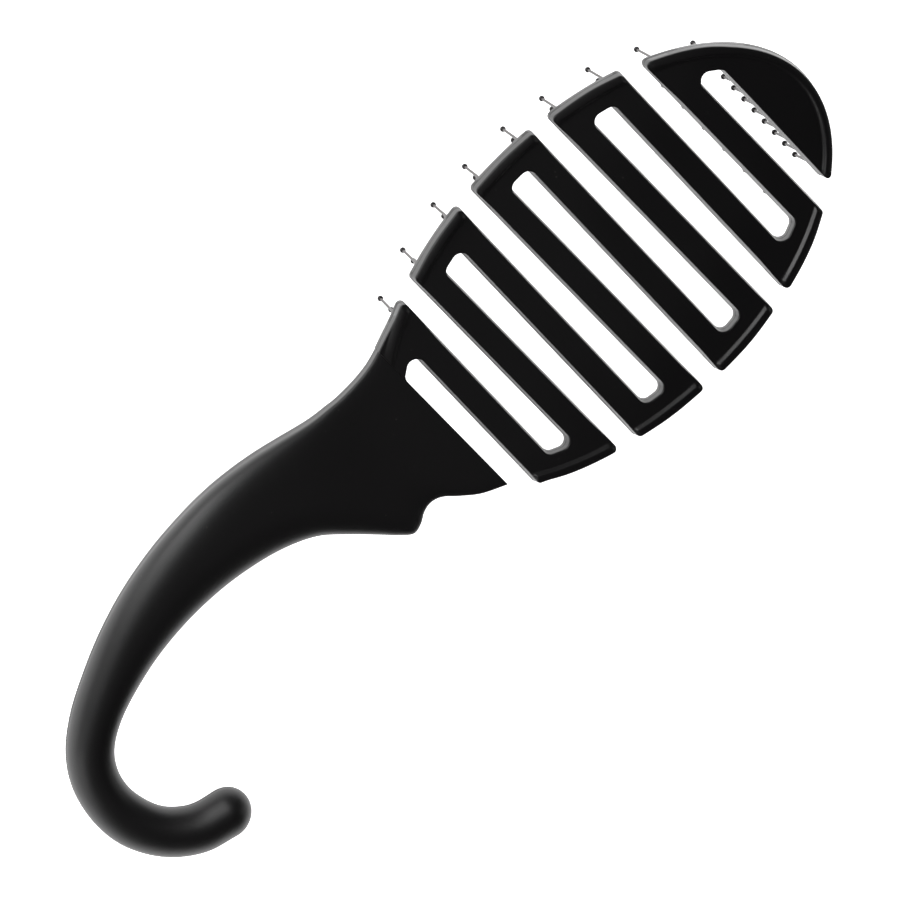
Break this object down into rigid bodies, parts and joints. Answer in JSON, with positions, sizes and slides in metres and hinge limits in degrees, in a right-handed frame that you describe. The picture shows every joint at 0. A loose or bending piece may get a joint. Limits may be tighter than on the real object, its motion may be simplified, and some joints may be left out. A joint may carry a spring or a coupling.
{
  "type": "hair brush",
  "caption": "Hair brush with a hooked handle and an arched, slotted head that flexes as one zig-zag strip and carries ball-tipped pins.",
  "frame": {"origin": "bottom centre of the whole brush as it lies on its pins, back up", "axes": "+X along the brush from the hook to the tip of the head, +Y across the head, +Z out of the back"},
  "size_m": [0.2458, 0.081, 0.0254],
  "materials": {
    "soft_black": "soft-touch satin black",
    "plate_black": "moulded satin black, a little lighter than the back",
    "pin_nylon": "smoky grey nylon, slightly translucent",
    "ball_black": "glossy black dipped tips"
  },
  "bodies": {
    "handle_and_root": {"handle_back_shell": "soft_black", "handle_pin_side_shell": "soft_black", "pins_root": "pin_nylon", "ball_tips_root": "ball_black", "flex_web_1": "soft_black"},
    "bar_1": {"back_plate_1": "soft_black", "pin_plate_1": "plate_black", "pins_1": "pin_nylon", "ball_tips_1": "ball_black", "flex_web_2": "soft_black"},
    "bar_2": {"back_plate_2": "soft_black", "pin_plate_2": "plate_black", "pins_2": "pin_nylon", "ball_tips_2": "ball_black", "flex_web_3": "soft_black"},
    "bar_3": {"back_plate_3": "soft_black", "pin_plate_3": "plate_black", "pins_3": "pin_nylon", "ball_tips_3": "ball_black", "flex_web_4": "soft_black"},
    "bar_4": {"back_plate_4": "soft_black", "pin_plate_4": "plate_black", "pins_4": "pin_nylon", "ball_tips_4": "ball_black", "flex_web_5": "soft_black"},
    "bar_5": {"back_plate_5": "soft_black", "pin_plate_5": "plate_black", "pins_5": "pin_nylon", "ball_tips_5": "ball_black", "flex_web_6": "soft_black"},
    "bar_6": {"back_plate_6": "soft_black", "pin_plate_6": "plate_black", "pins_6": "pin_nylon", "ball_tips_6": "ball_black", "flex_web_7": "soft_black"},
    "bar_7": {"back_plate_7": "soft_black", "pin_plate_7": "plate_black", "pins_7": "pin_nylon", "ball_tips_7": "ball_black", "flex_web_8": "soft_black"},
    "bar_8": {"back_plate_8": "soft_black", "pin_plate_8": "plate_black", "pins_8": "pin_nylon", "ball_tips_8": "ball_black", "flex_web_9": "soft_black"},
    "head_tip": {"back_plate_tip": "soft_black", "pin_plate_tip": "plate_black", "pins_tip": "pin_nylon", "ball_tips_tip": "ball_black"}
  },
  "joints": [
    {"name": "web_1_flex", "type": "hinge", "parent": "handle_and_root", "child": "bar_1", "pos_m": [0.00609, 0.02394, 0.02139], "axis": [0, 1, 0], "range_deg": [-2.5, 2.5], "stiffness_Nm_per_rad": 0.25, "deforming": ["flex_web_1"]},
    {"name": "web_2_flex", "type": "hinge", "parent": "bar_1", "child": "bar_2", "pos_m": [0.01858, -0.02613, 0.02188], "axis": [0, 1, 0], "range_deg": [-2.5, 2.5], "stiffness_Nm_per_rad": 0.25, "deforming": ["flex_web_2"]},
    {"name": "web_3_flex", "type": "hinge", "parent": "bar_2", "child": "bar_3", "pos_m": [0.03107, 0.03425, 0.02224], "axis": [0, 1, 0], "range_deg": [-2.5, 2.5], "stiffness_Nm_per_rad": 0.25, "deforming": ["flex_web_3"]},
    {"name": "web_4_flex", "type": "hinge", "parent": "bar_3", "child": "bar_4", "pos_m": [0.04356, -0.03229, 0.02247], "axis": [0, 1, 0], "range_deg": [-2.5, 2.5], "stiffness_Nm_per_rad": 0.25, "deforming": ["flex_web_4"]},
    {"name": "web_5_flex", "type": "hinge", "parent": "bar_4", "child": "bar_5", "pos_m": [0.05605, 0.03734, 0.02255], "axis": [0, 1, 0], "range_deg": [-2.5, 2.5], "stiffness_Nm_per_rad": 0.25, "deforming": ["flex_web_5"]},
    {"name": "web_6_flex", "type": "hinge", "parent": "bar_5", "child": "bar_6", "pos_m": [0.06854, -0.03263, 0.02251], "axis": [0, 1, 0], "range_deg": [-2.5, 2.5], "stiffness_Nm_per_rad": 0.25, "deforming": ["flex_web_6"]},
    {"name": "web_7_flex", "type": "hinge", "parent": "bar_6", "child": "bar_7", "pos_m": [0.08103, 0.03484, 0.02233], "axis": [0, 1, 0], "range_deg": [-2.5, 2.5], "stiffness_Nm_per_rad": 0.25, "deforming": ["flex_web_7"]},
    {"name": "web_8_flex", "type": "hinge", "parent": "bar_7", "child": "bar_8", "pos_m": [0.09352, -0.02687, 0.02201], "axis": [0, 1, 0], "range_deg": [-2.5, 2.5], "stiffness_Nm_per_rad": 0.25, "deforming": ["flex_web_8"]},
    {"name": "web_9_flex", "type": "hinge", "parent": "bar_8", "child": "head_tip", "pos_m": [0.10601, 0.02476, 0.02155], "axis": [0, 1, 0], "range_deg": [-2.5, 2.5], "stiffness_Nm_per_rad": 0.25, "deforming": ["flex_web_9"]}
  ]
}
